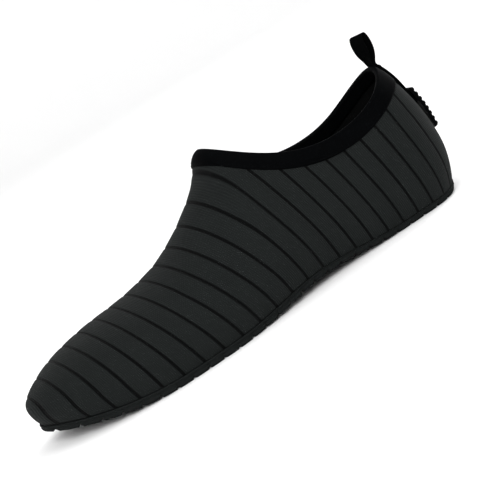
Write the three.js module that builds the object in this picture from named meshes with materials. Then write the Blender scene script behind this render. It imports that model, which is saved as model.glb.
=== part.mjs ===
// A slip-on water shoe for the left foot: one knit upper on a thin ribbed rubber sole.
// Millimetres. +X points to the toe, +Y to the outer side of the foot, +Z up.
// The origin is on the floor under the middle of the heel.
import * as THREE from 'three';
import { mergeVertices } from 'three/addons/utils/BufferGeometryUtils.js';

// Driving sizes of the foot form, over the upper's outside
const LENGTH = 265;
const BALL_WIDTH = 94;
const HEEL_HEIGHT = 78; // top edge of the upper at the centre of the heel
const SIDE_HEIGHT = 61; // lowest place of the top edge
const THROAT_HEIGHT = 89; // top edge at the front of the opening
const THROAT_PLACE = 121; // how far the opening's front lies from the back of the heel
const SIDE_PLACE = 60; // where the top edge is lowest
const HEEL_ROUND = 34; // length of the rounded heel end
const TOE_ROUND = 57; // length of the rounded toe end
const ROW_LEAN = 3; // how far the cross rows lean to the toe
const BACK_DIP = 2.2; // powers of the top edge's fall to the side, from the back and from the front
const FRONT_DIP = 2.1;

// The sole's line, above the floor
const SOLE_THICKNESS = 2.6;
const HEEL_KICK = 5;
const HEEL_FLAT = 20; // where the heel's flat spot starts
const ARCH_START = 47;
const ARCH_END = 164;
const ARCH_RISE = 4.2;
const SPRING_START = 198;
const TOE_SPRING = 10;
const SPRING_CURVE = 1.8;

// Walls and clearances
const CLEARANCE = 0.3;
const UPPER_WALL = 1.4;
const INSOLE_THICKNESS = 2.5;
const BINDING_GAP = 0.5; // between the binding and the knit
const BINDING_LEAF = 0.8;
const BINDING_HEIGHT = 8.8;
const BINDING_BACK_EXTRA = 2.6; // it is deeper at the back of the heel
const BINDING_INNER_HEIGHT = 7;

// The sole's side and its cross lugs
const RIM_HEIGHT_TOE = 3;
const RIM_HEIGHT_HEEL = 0.6;
const RIM_FADE_START = 70;
const RIM_FADE_END = 165;
const RIM_TOP = 0.8; // the rim's thickness at its top and at the upper's foot
const RIM_TOP_HEEL = 0.5;
const RIM_FOOT = 1.3;
const RIM_FOOT_HEEL = 0.5;
const RIM_UNDERCUT = 1.1; // how far the tread's edge lies inside the rim
const RIM_UNDERCUT_HEEL = 1.9;
const LUG_PITCH = 9.2;
const LUG_GROOVE = 2.2;
const LUG_DEPTH = 1;
const LUG_SLOPE = 0.45;
const LUG_PHASE = 6; // where the first lug starts, from the middle of the heel back

// Heel tape and tab. The tape's loop ends in two layers that run down the back of the heel.
const TAPE_WIDTH = 9.5;
const TAPE_THICKNESS = 0.65;
const TAPE_END = 31; // where it ends under the tab, from the top edge
const LOOP_RISE = 18;
const LOOP_SPREAD = 5.4;
const LOOP_TWIST = THREE.MathUtils.degToRad(24);
const TAB_START = 22.5; // below the top edge
const TAB_LENGTH = 25;
const TAB_WIDTH = 12;
const TAB_THICKNESS = 2;
const TAB_RIB = 0.8;
const TAB_RIBS = 8;

const SEAT = SOLE_THICKNESS + CLEARANCE; // the upper's lower edge where the sole is flat
const ORIGIN_X = HEEL_ROUND;

// Cross-sections from heel to toe. "at" is a share of LENGTH. "outer" and "inner" are the
// half-widths at the belly and "ridge" the place of the top line, as shares of BALL_WIDTH.
// "top" is a share of the throat's height over the seat; behind the throat the open section
// would close there. "foot" is the width at the lower edge over that at the belly, "belly"
// the belly's share of the height, and "round" the power of the curve above it.
const SECTIONS = [
  { at: 0.000, outer: 0.330, inner: 0.330, ridge: 0.000, top: 1.060, foot: 0.82, belly: 0.25, round: 1.85 },
  { at: 0.132, outer: 0.330, inner: 0.330, ridge: 0.000, top: 1.030, foot: 0.84, belly: 0.25, round: 1.80 },
  { at: 0.264, outer: 0.346, inner: 0.319, ridge: 0.000, top: 1.020, foot: 0.84, belly: 0.25, round: 1.70 },
  { at: 0.370, outer: 0.375, inner: 0.322, ridge: 0.000, top: 1.045, foot: 0.83, belly: 0.25, round: 1.60 },
  { at: 0.457, outer: 0.420, inner: 0.346, ridge: -0.003, top: 1.000, foot: 0.85, belly: 0.24, round: 1.50 },
  { at: 0.502, outer: 0.446, inner: 0.364, ridge: -0.004, top: 0.840, foot: 0.87, belly: 0.24, round: 1.50 },
  { at: 0.547, outer: 0.470, inner: 0.385, ridge: -0.006, top: 0.727, foot: 0.88, belly: 0.25, round: 1.55 },
  { at: 0.592, outer: 0.490, inner: 0.414, ridge: -0.008, top: 0.635, foot: 0.90, belly: 0.27, round: 1.65 },
  { at: 0.650, outer: 0.509, inner: 0.450, ridge: -0.012, top: 0.550, foot: 0.92, belly: 0.29, round: 1.80 },
  { at: 0.736, outer: 0.512, inner: 0.479, ridge: -0.021, top: 0.492, foot: 0.93, belly: 0.30, round: 1.95 },
  { at: 0.830, outer: 0.492, inner: 0.470, ridge: -0.037, top: 0.468, foot: 0.93, belly: 0.31, round: 2.05 },
  { at: 0.915, outer: 0.482, inner: 0.454, ridge: -0.060, top: 0.452, foot: 0.93, belly: 0.32, round: 2.10 },
  { at: 1.000, outer: 0.436, inner: 0.404, ridge: -0.074, top: 0.410, foot: 0.95, belly: 0.35, round: 2.15 },
];

const { clamp, lerp } = THREE.MathUtils;
const smooth = (t) => t * t * (3 - 2 * t);
const fade = (x, from, to) => smooth(clamp((x - from) / (to - from), 0, 1));

// A smooth curve through one column of the table, with no overshoot between its rows
function column(name, unit) {
  const xs = SECTIONS.map((row) => row.at * LENGTH);
  const ys = SECTIONS.map((row) => row[name] * unit);
  const slopes = xs.slice(1).map((x, i) => (ys[i + 1] - ys[i]) / (x - xs[i]));
  const tangents = ys.map((_, i) => {
    const before = slopes[Math.max(0, i - 1)];
    const after = slopes[Math.min(i, slopes.length - 1)];
    return before * after <= 0 ? 0 : (2 * before * after) / (before + after);
  });
  return (x) => {
    const at = clamp(x, xs[0], xs[xs.length - 1]);
    let i = 0;
    while (i < xs.length - 2 && at > xs[i + 1]) i += 1;
    const span = xs[i + 1] - xs[i];
    const t = (at - xs[i]) / span;
    const rise = ys[i + 1] - ys[i];
    const bend = tangents[i] + tangents[i + 1];
    const third = span * bend - 2 * rise;
    const second = 3 * rise - span * (2 * tangents[i] + tangents[i + 1]);
    return ys[i] + t * (span * tangents[i] + t * (second + t * third));
  };
}

const outerWidth = column('outer', BALL_WIDTH);
const innerWidth = column('inner', BALL_WIDTH);
const ridgeY = column('ridge', BALL_WIDTH);
const topHeight = column('top', THROAT_HEIGHT - SEAT);
const footRatio = column('foot', 1);
const bellyShare = column('belly', 1);
const roundPower = column('round', 1);

// How far the sole line stands above its flat spots: heel edge, arch and toe spring
function lift(x) {
  const kick = HEEL_KICK * Math.max(0, 1 - x / HEEL_FLAT) ** 2;
  const arch = clamp((x - ARCH_START) / (ARCH_END - ARCH_START), 0, 1);
  const spring = Math.max(0, (x - SPRING_START) / (LENGTH - SPRING_START));
  return kick + ARCH_RISE * Math.sin(Math.PI * arch) ** 2 + TOE_SPRING * spring ** SPRING_CURVE;
}

const footZ = (x) => SEAT + lift(x);
const ridgeZ = (x) => SEAT + topHeight(x);
const heelLevel = (x) => 1 - clamp(x / HEEL_ROUND, 0, 1);
const toeLevel = (x) => 1 - clamp((LENGTH - x) / TOE_ROUND, 0, 1);

// The section's width at a height, squared, as a share of its width at the belly
function sectionSquare(x, z) {
  const share = (z - footZ(x)) / (ridgeZ(x) - footZ(x));
  const belly = bellyShare(x);
  if (share < belly) {
    return (1 - (1 - footRatio(x)) * (1 - Math.max(0, share) / belly) ** 2) ** 2;
  }
  return 1 - ((share - belly) / (1 - belly)) ** roundPower(x);
}

// Zero on the upper's outside, negative within
function field(x, y, z) {
  const side = y - ridgeY(x);
  const width = side > 0 ? outerWidth(x) : innerWidth(x);
  return (side / width) ** 2 + heelLevel(x) ** 2 + toeLevel(x) ** 2 - sectionSquare(x, z);
}

function outward(point) {
  const h = 0.02;
  const { x, y, z } = point;
  return new THREE.Vector3(
    field(x + h, y, z) - field(x - h, y, z),
    field(x, y + h, z) - field(x, y - h, z),
    field(x, y, z + h) - field(x, y, z - h),
  ).normalize();
}

// The nearest place on the upper's outside
function settle(point) {
  const h = 0.02;
  const at = point.clone();
  for (let step = 0; step < 8; step += 1) {
    const normal = outward(at);
    const ahead = at.clone().addScaledVector(normal, h);
    const here = field(at.x, at.y, at.z);
    const slope = (field(ahead.x, ahead.y, ahead.z) - here) / h;
    at.addScaledVector(normal, clamp(-here / slope, -2, 2));
  }
  return at;
}

// Place of a cross row in the side view: the row's station, and its height as a share
function rowPlace(station, share) {
  const lean = ROW_LEAN * fade(station, 0, HEEL_ROUND) * fade(station, LENGTH, LENGTH - HEEL_ROUND);
  const at = station + lean * share;
  const toe = toeLevel(at);
  const back = heelLevel(at) ** 2;
  const footX = at + (back * HEEL_ROUND - toe * TOE_ROUND) * (1 - footRatio(at));
  const belly = lerp(footZ(at), ridgeZ(at), bellyShare(at));
  const highest = belly + (ridgeZ(at) - belly) * (1 - toe * toe) ** (1 / roundPower(at));
  const z = lerp(footZ(footX), highest, share);
  let x = at;
  for (let step = 0; step < 12; step += 1) {
    const square = sectionSquare(x, z);
    const tuck = z < belly ? Math.sqrt(square) : 1;
    x = at + back * HEEL_ROUND * (1 - Math.sqrt(Math.max(0, square))) - TOE_ROUND * toe * (1 - tuck);
  }
  return { x, z };
}

function onUpper(station, share, side) {
  const { x, z } = rowPlace(station, share);
  const level = sectionSquare(x, z) - heelLevel(x) ** 2 - toeLevel(x) ** 2;
  const atEnd = station <= 0 || station >= LENGTH || share >= 1;
  const half = atEnd ? 0 : Math.sqrt(Math.max(0, level)) * (side > 0 ? outerWidth(x) : innerWidth(x));
  return new THREE.Vector3(x, ridgeY(x) + side * half, z);
}

// The top edge of the upper, from the back of the heel over the sides to the throat
function heelBackX(z) {
  let x = 0;
  for (let step = 0; step < 12; step += 1) x = HEEL_ROUND * (1 - Math.sqrt(sectionSquare(x, z)));
  return x;
}

const collarBackX = heelBackX(HEEL_HEIGHT);

function collarZ(x) {
  if (x < SIDE_PLACE) {
    const rise = Math.max(0, (SIDE_PLACE - x) / (SIDE_PLACE - collarBackX)) ** BACK_DIP;
    return lerp(SIDE_HEIGHT, HEEL_HEIGHT, rise);
  }
  const rise = ((x - SIDE_PLACE) / (THROAT_PLACE - SIDE_PLACE)) ** FRONT_DIP;
  return lerp(SIDE_HEIGHT, ridgeZ(THROAT_PLACE), rise);
}

const throatStation = THROAT_PLACE - ROW_LEAN;

// Share of a row's height at which it ends: at the collar, or at the ridge past the throat
function rowEnd(station) {
  if (station >= throatStation) return 1;
  let low = 0;
  let high = 1;
  for (let step = 0; step < 40; step += 1) {
    const middle = (low + high) / 2;
    const { x, z } = rowPlace(station, middle);
    if (z < collarZ(x)) low = middle;
    else high = middle;
  }
  return low;
}

// Points of one row from the lower edge up, evenly spaced along the surface
function rowPoints(station, side, count) {
  const end = rowEnd(station);
  const samples = 60;
  const shareAt = (k) => end * Math.sin((k / samples) * (Math.PI / 2));
  const lengths = [0];
  let last = onUpper(station, 0, side);
  for (let k = 1; k <= samples; k += 1) {
    const next = onUpper(station, shareAt(k), side);
    lengths.push(lengths[k - 1] + next.distanceTo(last));
    last = next;
  }
  const points = [];
  let k = 0;
  for (let j = 0; j <= count; j += 1) {
    const target = (lengths[samples] * j) / count;
    while (k < samples - 1 && lengths[k + 1] < target) k += 1;
    const t = (target - lengths[k]) / (lengths[k + 1] - lengths[k]);
    points.push(onUpper(station, j === count ? end : shareAt(k + clamp(t, 0, 1)), side));
  }
  return points;
}

// Closed meshes from quads, with shared corners merged and empty faces dropped
class Skin {
  constructor() {
    this.corners = [];
  }

  triangle(a, b, c) {
    this.corners.push(a, b, c);
  }

  // Two triangles with the crease from a to c, whichever way they face
  quad(a, b, c, d, turned = false) {
    if (turned) {
      this.triangle(a, c, b);
      this.triangle(a, d, c);
    } else {
      this.triangle(a, b, c);
      this.triangle(a, c, d);
    }
  }

  // A sheet between two lines of equal length
  strip(first, second, turned = false) {
    for (let i = 1; i < first.length; i += 1) {
      this.quad(first[i - 1], first[i], second[i], second[i - 1], turned);
    }
  }

  sheet(lines, turned = false) {
    for (let i = 1; i < lines.length; i += 1) this.strip(lines[i - 1], lines[i], turned);
  }

  geometry() {
    const raw = new THREE.BufferGeometry();
    const values = this.corners.flatMap((corner) => [corner.x - ORIGIN_X, corner.y, corner.z]);
    raw.setAttribute('position', new THREE.Float32BufferAttribute(values, 3));
    const merged = mergeVertices(raw, 1e-3);
    const index = Array.from(merged.index.array);
    const kept = [];
    for (let i = 0; i < index.length; i += 3) {
      const [a, b, c] = index.slice(i, i + 3);
      if (a !== b && b !== c && c !== a) kept.push(a, b, c);
    }
    merged.setIndex(kept);
    merged.computeVertexNormals();
    return merged;
  }
}

const moved = (point, direction, distance) => point.clone().addScaledVector(direction, distance);
const level = (direction) => new THREE.Vector3(direction.x, direction.y, 0).normalize();

// Stations of the upper's rows. They are close together where the ends turn, and close up to
// the throat, where the top edge turns across the foot, by these powers.
const HEEL_ROWS = 8;
const MIDDLE_ROWS = 28;
const TOE_ROWS = 9;
const CLOSE_UP = 0.9;
const OPEN_OUT = 1.7;

function stations(heelRows, middleRows, toeRows) {
  const list = [];
  const turn = (share) => share * (Math.PI / 2);
  for (let i = 0; i < heelRows; i += 1) list.push(HEEL_ROUND * (1 - Math.cos(turn(i / heelRows))));
  const from = HEEL_ROUND;
  const to = LENGTH - TOE_ROUND;
  const collarRows = Math.round((middleRows * (throatStation - from)) / (to - from));
  for (let i = 0; i < collarRows; i += 1) {
    list.push(lerp(from, throatStation, Math.sin(turn(i / collarRows)) ** CLOSE_UP));
  }
  for (let i = 0; i < middleRows - collarRows; i += 1) {
    list.push(lerp(throatStation, to, (i / (middleRows - collarRows)) ** OPEN_OUT));
  }
  for (let i = 0; i <= toeRows; i += 1) list.push(to + TOE_ROUND * Math.sin(turn(i / toeRows)));
  return list;
}

const upperStations = () => stations(HEEL_ROWS, MIDDLE_ROWS, TOE_ROWS);

function makeUpper() {
  const rows = upperStations();
  const columns = 13;
  const skin = new Skin();
  for (const side of [1, -1]) {
    const outer = rows.map((station) => rowPoints(station, side, columns));
    const inner = outer.map((row) => row.map((point) => moved(point, outward(point), -UPPER_WALL)));
    const foot = [outer.map((row) => row[0]), inner.map((row) => row[0])];
    const collarRows = rows.filter((station) => station <= throatStation).length;
    const top = [outer, inner].map((wall) => wall.slice(0, collarRows).map((row) => row[columns]));
    skin.sheet([...outer].reverse(), side > 0);
    skin.sheet([...inner].reverse(), side < 0);
    skin.strip(foot[0], foot[1], side < 0);
    skin.strip(top[0], top[1], side > 0);
  }
  return skin.geometry();
}

// A station whose lower edge lies at a given place along the shoe
function stationAt(x) {
  let low = 0;
  let high = LENGTH;
  for (let step = 0; step < 40; step += 1) {
    const middle = (low + high) / 2;
    if (rowPlace(middle, 0).x < x) low = middle;
    else high = middle;
  }
  return (low + high) / 2;
}

const soleBack = rowPlace(0, 0).x;
const soleFront = rowPlace(LENGTH, 0).x;

function grooveDepth(x) {
  const place = (((x - soleBack - LUG_PHASE) % LUG_PITCH) + LUG_PITCH) % LUG_PITCH;
  const inGroove = place - (LUG_PITCH - LUG_GROOVE);
  const slope = Math.min(inGroove / LUG_SLOPE, (LUG_GROOVE - inGroove) / LUG_SLOPE);
  return LUG_DEPTH * clamp(slope, 0, 1);
}

const SOLE_END_ROWS = 7;
const LEAST_ROW_GAP = 0.2;

// The sole's rows: four corners for each groove, and more where the ends turn
function soleStations() {
  const places = [];
  for (let start = soleBack + LUG_PHASE; start < soleFront; start += LUG_PITCH) {
    for (const corner of [-LUG_GROOVE, LUG_SLOPE - LUG_GROOVE, -LUG_SLOPE, 0]) places.push(start + corner);
  }
  for (let i = 0; i < SOLE_END_ROWS; i += 1) {
    const turn = 1 - Math.cos((i / SOLE_END_ROWS) * (Math.PI / 2));
    places.push(soleBack + turn * HEEL_ROUND, soleFront - turn * TOE_ROUND);
  }
  const inside = places.filter((x) => x >= soleBack && x <= soleFront).sort((a, b) => a - b);
  const spaced = inside.filter((x, i) => i === 0 || x - inside[i - 1] > LEAST_ROW_GAP);
  return [0, ...spaced.slice(1, -1).map(stationAt), LENGTH];
}

// A size of the sole's rim, from its value at the heel to that at the forefoot
const alongRim = (x, heel, toe) => lerp(heel, toe, fade(x, RIM_FADE_START, RIM_FADE_END));

function makeOutsole() {
  const rows = soleStations();
  const skin = new Skin();
  const edges = [1, -1].map((side) => rows.map((station) => {
    const foot = onUpper(station, 0, side);
    const way = level(outward(foot));
    const height = alongRim(foot.x, RIM_HEIGHT_HEEL, RIM_HEIGHT_TOE);
    const share = height / (ridgeZ(foot.x) - footZ(foot.x));
    const rim = onUpper(station, share, side);
    const rimWay = outward(rim);
    const wall = CLEARANCE + alongRim(foot.x, RIM_FOOT_HEEL, RIM_FOOT);
    const rimTop = CLEARANCE + alongRim(foot.x, RIM_TOP_HEEL, RIM_TOP);
    const bottom = moved(foot, way, wall - alongRim(foot.x, RIM_UNDERCUT_HEEL, RIM_UNDERCUT));
    bottom.z -= SEAT - grooveDepth(foot.x);
    const corner = moved(foot, way, wall);
    corner.z -= CLEARANCE + (SOLE_THICKNESS - LUG_DEPTH) / 2;
    const seat = moved(foot, way, CLEARANCE);
    seat.z -= CLEARANCE;
    const rimInner = moved(rim, rimWay, CLEARANCE);
    return [bottom, corner, moved(rim, rimWay, rimTop), rimInner, seat];
  }));
  for (const [index, edge] of edges.entries()) {
    skin.sheet(edge, index === 1);
  }
  for (let i = 1; i < rows.length; i += 1) {
    const [left, right] = edges;
    const [bottom, seat] = [0, 4];
    skin.quad(left[i - 1][bottom], left[i][bottom], right[i][bottom], right[i - 1][bottom]);
    skin.quad(right[i - 1][seat], right[i][seat], left[i][seat], left[i - 1][seat]);
  }
  return skin.geometry();
}

function makeInsole() {
  const rows = upperStations();
  const skin = new Skin();
  const edges = [1, -1].map((side) => rows.map((station) => {
    const foot = onUpper(station, 0, side);
    const normal = outward(foot);
    const under = moved(moved(foot, normal, -UPPER_WALL), level(normal), -CLEARANCE);
    under.z = footZ(under.x);
    return [under, new THREE.Vector3(under.x, under.y, under.z + INSOLE_THICKNESS)];
  }));
  edges.forEach((edge, index) => skin.sheet(edge, index === 1));
  for (let i = 1; i < rows.length; i += 1) {
    const [left, right] = edges;
    skin.quad(left[i - 1][0], left[i][0], right[i][0], right[i - 1][0]);
    skin.quad(right[i - 1][1], right[i][1], left[i][1], left[i - 1][1]);
  }
  return skin.geometry();
}

// The top edge as a closed line: back of the heel, outer side, throat, inner side
function collarLine() {
  const rows = upperStations().filter((station) => station <= throatStation);
  const half = (side) => rows.map((station) => onUpper(station, rowEnd(station), side));
  return [...half(1), ...half(-1).reverse().slice(1, -1)];
}

// Follows the outside from a place, for a distance, in a direction turned by a fixed sideways line
function follow(start, sideways, distance) {
  const steps = Math.max(1, Math.ceil(Math.abs(distance)));
  let at = start.clone();
  for (let i = 0; i < steps; i += 1) {
    const way = outward(at).cross(sideways).normalize();
    at = settle(at.addScaledVector(way, distance / steps));
  }
  return at;
}

const BACK_EXTRA_END = 2.2; // where the deeper part ends, as a multiple of the edge's own place

function makeBinding() {
  const line = collarLine();
  const inside = UPPER_WALL + BINDING_GAP;
  const skin = new Skin();
  const rings = line.map((edge, i) => {
    const sideways = line[(i + 1) % line.length].clone().sub(line[(i + line.length - 1) % line.length]);
    const way = outward(edge).cross(sideways).normalize();
    const nearBack = fade(edge.x, BACK_EXTRA_END * collarBackX, collarBackX);
    const depth = BINDING_HEIGHT + BINDING_BACK_EXTRA * nearBack;
    const place = (down, out) => {
      const base = down > 0 ? follow(edge, sideways, down) : moved(edge, way, down);
      return moved(base, down > 0 ? outward(base) : outward(edge), out);
    };
    const over = BINDING_GAP + BINDING_LEAF;
    const round = BINDING_GAP + BINDING_LEAF * 0.7;
    return [
      place(depth, BINDING_GAP),
      place((depth * 2) / 3, BINDING_GAP),
      place(depth / 3, BINDING_GAP),
      place(-BINDING_GAP, BINDING_GAP),
      place(-BINDING_GAP, -inside),
      place(BINDING_INNER_HEIGHT / 2, -inside),
      place(BINDING_INNER_HEIGHT, -inside),
      place(BINDING_INNER_HEIGHT, -inside - BINDING_LEAF),
      place(BINDING_INNER_HEIGHT / 2, -inside - BINDING_LEAF),
      place(0, -inside - BINDING_LEAF),
      place(-round, -UPPER_WALL - round),
      place(-over, -UPPER_WALL / 2),
      place(-round, round),
      place(0, over),
      place(depth / 3, over),
      place((depth * 2) / 3, over),
      place(depth, round),
    ];
  });
  const closed = rings.map((ring) => [...ring, ring[0]]);
  skin.sheet([...closed, closed[0]], true);
  return skin.geometry();
}

const across = new THREE.Vector3(0, 1, 0);
const collarBack = new THREE.Vector3(collarBackX, ridgeY(collarBackX), HEEL_HEIGHT);

// A place on the back of the heel: down from the top edge, sideways, and out from the upper
function onHeel(down, sideways, out) {
  const base = down > 0 ? follow(collarBack, across, down) : collarBack.clone();
  if (down <= 0) base.addScaledVector(outward(collarBack).cross(across).normalize(), down);
  const beside = settle(base.clone().addScaledVector(across, sideways));
  const at = down > 0 ? beside : moved(base, across, sideways).setX(base.x + beside.x - settle(base).x);
  return moved(at, outward(beside), out);
}

// The loop of the tape in the side view, as shares of its spread and rise
const LOOP_LINE = [
  { spread: 0.28, rise: 0.22 },
  { spread: 0.52, rise: 0.52 },
  { spread: 0.50, rise: 0.80 },
  { spread: 0.20, rise: 0.97 },
  { spread: -0.20, rise: 0.97 },
  { spread: -0.46, rise: 0.78 },
  { spread: -0.44, rise: 0.50 },
  { spread: -0.30, rise: 0.24 },
];

// Rows of the tape's layers on the heel, as shares of the way down to its end
const TAPE_ROWS = [1, 0.85, 0.70, 0.59, 0.50, 0.41, 0.30, 0.185, 0.0925, 0];
const TAPE_BEND = 4.5; // length in which the tape comes down from the binding to the knit
const LOOP_TURN_END = 0.6; // share of the rise above which the loop has its whole twist

// How far the middle of the tape's first layer lies from the upper
function tapeOffset(down) {
  const overBinding = BINDING_GAP + BINDING_LEAF + CLEARANCE;
  const bend = BINDING_HEIGHT + BINDING_BACK_EXTRA + CLEARANCE;
  return TAPE_THICKNESS / 2 + lerp(overBinding, CLEARANCE, fade(down, bend, bend + TAPE_BEND));
}

function makePullLoop() {
  const layer = TAPE_THICKNESS + CLEARANCE;
  const downs = TAPE_ROWS.map((share) => share * TAPE_END);
  const rest = new THREE.Vector3(1, 0, 0);
  const strip = (extra) => downs.map((down) => ({
    middle: onHeel(down, 0, tapeOffset(down) + extra),
    sag: onHeel(down, TAPE_WIDTH / 2, tapeOffset(down)).x - onHeel(down, 0, tapeOffset(down)).x,
  }));
  const up = strip(0);
  const back = strip(layer).reverse();
  const root = up[up.length - 1].middle.clone().lerp(back[0].middle, 0.5);
  const loop = LOOP_LINE.map(({ spread, rise }) => ({
    middle: new THREE.Vector3(root.x + spread * LOOP_SPREAD, root.y, root.z + rise * LOOP_RISE),
    sag: up[up.length - 1].sag * Math.max(0, 1 - rise * 2),
  }));
  const knots = [...up, ...loop, ...back];
  const curve = new THREE.CatmullRomCurve3(knots.map((knot) => knot.middle), false, 'centripetal');
  const skin = new Skin();
  const rings = [];
  const last = knots.length - 1;
  for (let k = 0; k < last; k += 1) {
    const parts = k >= up.length - 1 && k < last - back.length + 1 ? 4 : 1;
    for (let part = 0; part < parts + (k === last - 1 ? 1 : 0); part += 1) {
      const t = k + part / parts;
      const middle = curve.getPoint(t / last);
      const ahead = curve.getTangent(t / last);
      const normal = across.clone().cross(ahead).negate();
      const sag = lerp(knots[k].sag, knots[Math.min(last, k + 1)].sag, part / parts);
      const turn = LOOP_TWIST * fade(middle.z, root.z, root.z + LOOP_RISE * LOOP_TURN_END);
      const corner = (sideways, thick) => moved(middle, across, sideways * TAPE_WIDTH / 2)
        .addScaledVector(normal, (thick * TAPE_THICKNESS) / 2)
        .addScaledVector(rest, sag * sideways * sideways)
        .sub(root).applyAxisAngle(new THREE.Vector3(0, 0, 1), turn).add(root);
      const inner = [-1, 0, 1].map((sideways) => corner(sideways, -1));
      const outer = [1, 0, -1].map((sideways) => corner(sideways, 1));
      rings.push([...inner, ...outer]);
    }
  }
  skin.sheet(rings.map((ring) => [...ring, ring[0]]));
  for (const [ring, flip] of [[rings[0], true], [rings[rings.length - 1], false]]) {
    const [a, b, c, d, e, f] = flip ? [...ring].reverse() : ring;
    skin.quad(a, b, e, f);
    skin.quad(b, c, d, e);
  }
  return skin.geometry();
}

// One rib of the tab along the heel, as shares of its pitch and of its height
const RIB_LINE = [
  { part: 0.02, raised: 0 },
  { part: 0.22, raised: 1 },
  { part: 0.62, raised: 1 },
  { part: 0.90, raised: 0 },
];

function makeHeelTab() {
  const skin = new Skin();
  const pitch = TAB_LENGTH / TAB_RIBS;
  const tabEnd = TAB_START + TAB_LENGTH;
  const overTape = CLEARANCE + 2 * TAPE_THICKNESS + 2 * CLEARANCE;
  const rings = [];
  for (let rib = 0; rib < TAB_RIBS; rib += 1) {
    for (const { part, raised } of RIB_LINE) {
      const down = TAB_START + (rib + part) * pitch;
      const under = lerp(overTape, CLEARANCE, fade(down, TAPE_END + CLEARANCE, tabEnd));
      const over = under + TAB_THICKNESS + raised * TAB_RIB;
      const line = (out) => [-1, 0, 1].map((side) => onHeel(down, (side * TAB_WIDTH) / 2, out));
      rings.push([...line(under), ...line(over).reverse()]);
    }
  }
  skin.sheet(rings.map((ring) => [...ring, ring[0]]), true);
  for (const [ring, flip] of [[rings[0], false], [rings[rings.length - 1], true]]) {
    const [a, b, c, d, e, f] = flip ? [...ring].reverse() : ring;
    skin.quad(a, b, e, f);
    skin.quad(b, c, d, e);
  }
  return skin.geometry();
}

function material(color, roughness) {
  return new THREE.MeshStandardMaterial({ color, roughness, metalness: 0 });
}

const knit = material(0x2a2d2c, 0.9);
const rubber = material(0x161717, 0.7);
const foam = material(0x1c1d1d, 0.95);
const elastic = material(0x111314, 0.55);
const webbing = material(0x0d0e0e, 0.8);

const shoe = new THREE.Group();
function add(name, geometry, finish) {
  const mesh = new THREE.Mesh(geometry, finish);
  mesh.name = name;
  shoe.add(mesh);
}

add('upper', makeUpper(), knit);
add('outsole', makeOutsole(), rubber);
add('insole', makeInsole(), foam);
add('collar_binding', makeBinding(), elastic);
add('pull_loop', makePullLoop(), webbing);
add('heel_tab', makeHeelTab(), rubber);

export default shoe;
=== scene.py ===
"""A slip-on water shoe for the left foot: knit upper with cross grooves on a thin ribbed sole.

Shapes are worked out in millimetres, with x from the back of the heel to the toe, y to the
outer side and z up from the floor. They become metres in the frame when a mesh is made.
"""
import math

import bmesh
import bpy
import numpy as np
from mathutils import Matrix, Vector

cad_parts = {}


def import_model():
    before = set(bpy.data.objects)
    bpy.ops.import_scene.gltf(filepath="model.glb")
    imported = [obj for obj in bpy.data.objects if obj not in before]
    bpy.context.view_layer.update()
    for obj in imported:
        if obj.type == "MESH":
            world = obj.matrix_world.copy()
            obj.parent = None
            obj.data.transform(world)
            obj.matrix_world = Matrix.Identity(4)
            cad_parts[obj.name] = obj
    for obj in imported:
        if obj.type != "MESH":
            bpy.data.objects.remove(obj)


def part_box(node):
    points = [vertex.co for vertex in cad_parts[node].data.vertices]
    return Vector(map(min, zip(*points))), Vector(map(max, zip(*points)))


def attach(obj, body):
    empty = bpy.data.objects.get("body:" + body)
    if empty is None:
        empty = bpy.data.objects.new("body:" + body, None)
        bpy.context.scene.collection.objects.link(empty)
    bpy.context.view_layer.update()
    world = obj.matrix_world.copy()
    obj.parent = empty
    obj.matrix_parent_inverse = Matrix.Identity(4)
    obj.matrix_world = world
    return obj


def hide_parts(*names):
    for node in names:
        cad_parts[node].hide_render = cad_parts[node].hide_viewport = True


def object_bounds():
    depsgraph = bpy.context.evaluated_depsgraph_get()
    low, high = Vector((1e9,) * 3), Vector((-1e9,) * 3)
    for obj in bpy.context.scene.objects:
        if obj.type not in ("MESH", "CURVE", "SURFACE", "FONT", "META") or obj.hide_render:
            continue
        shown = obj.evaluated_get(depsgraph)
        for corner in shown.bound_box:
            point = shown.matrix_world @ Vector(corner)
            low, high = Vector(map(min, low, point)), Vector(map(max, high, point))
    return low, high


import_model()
cad_low, cad_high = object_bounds()

MM = 0.001
upper_low, upper_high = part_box("upper")


def to_half_mm(metres):
    """The solid's facets cut a little off its round ends, so its reach is rounded."""
    return round(metres / MM * 2.0) / 2.0


LENGTH = to_half_mm(upper_high[0] - upper_low[0])
ORIGIN_X = to_half_mm(-upper_low[0])

# Driving sizes of the foot form, over the upper's outside
BALL_WIDTH = 94.0
HEEL_HEIGHT = 78.0
SIDE_HEIGHT = 61.0
THROAT_HEIGHT = 89.0
THROAT_PLACE = 121.0
SIDE_PLACE = 60.0
HEEL_ROUND = 34.0
TOE_ROUND = 57.0
BACK_DIP = 2.2
FRONT_DIP = 2.1

# The sole's line, above the floor
SOLE_THICKNESS = 2.6
HEEL_KICK = 5.0
HEEL_FLAT = 20.0
ARCH_START = 47.0
ARCH_END = 164.0
ARCH_RISE = 4.2
SPRING_START = 198.0
TOE_SPRING = 10.0
SPRING_CURVE = 1.8

# Walls and clearances. The binding lies closer to the knit here than in the solid.
CLEARANCE = 0.3
UPPER_WALL = 1.4
INSOLE_THICKNESS = 2.5
BINDING_GAP = 0.15
BINDING_LEAF = 0.8
BINDING_HEIGHT = 8.8
BINDING_BACK_EXTRA = 2.6
BINDING_BACK_REACH = 2.2  # its deeper back ends at this many times the collar's back place
BINDING_INNER_HEIGHT = 7.0
BINDING_TOP_RISE = 1.2

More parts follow.
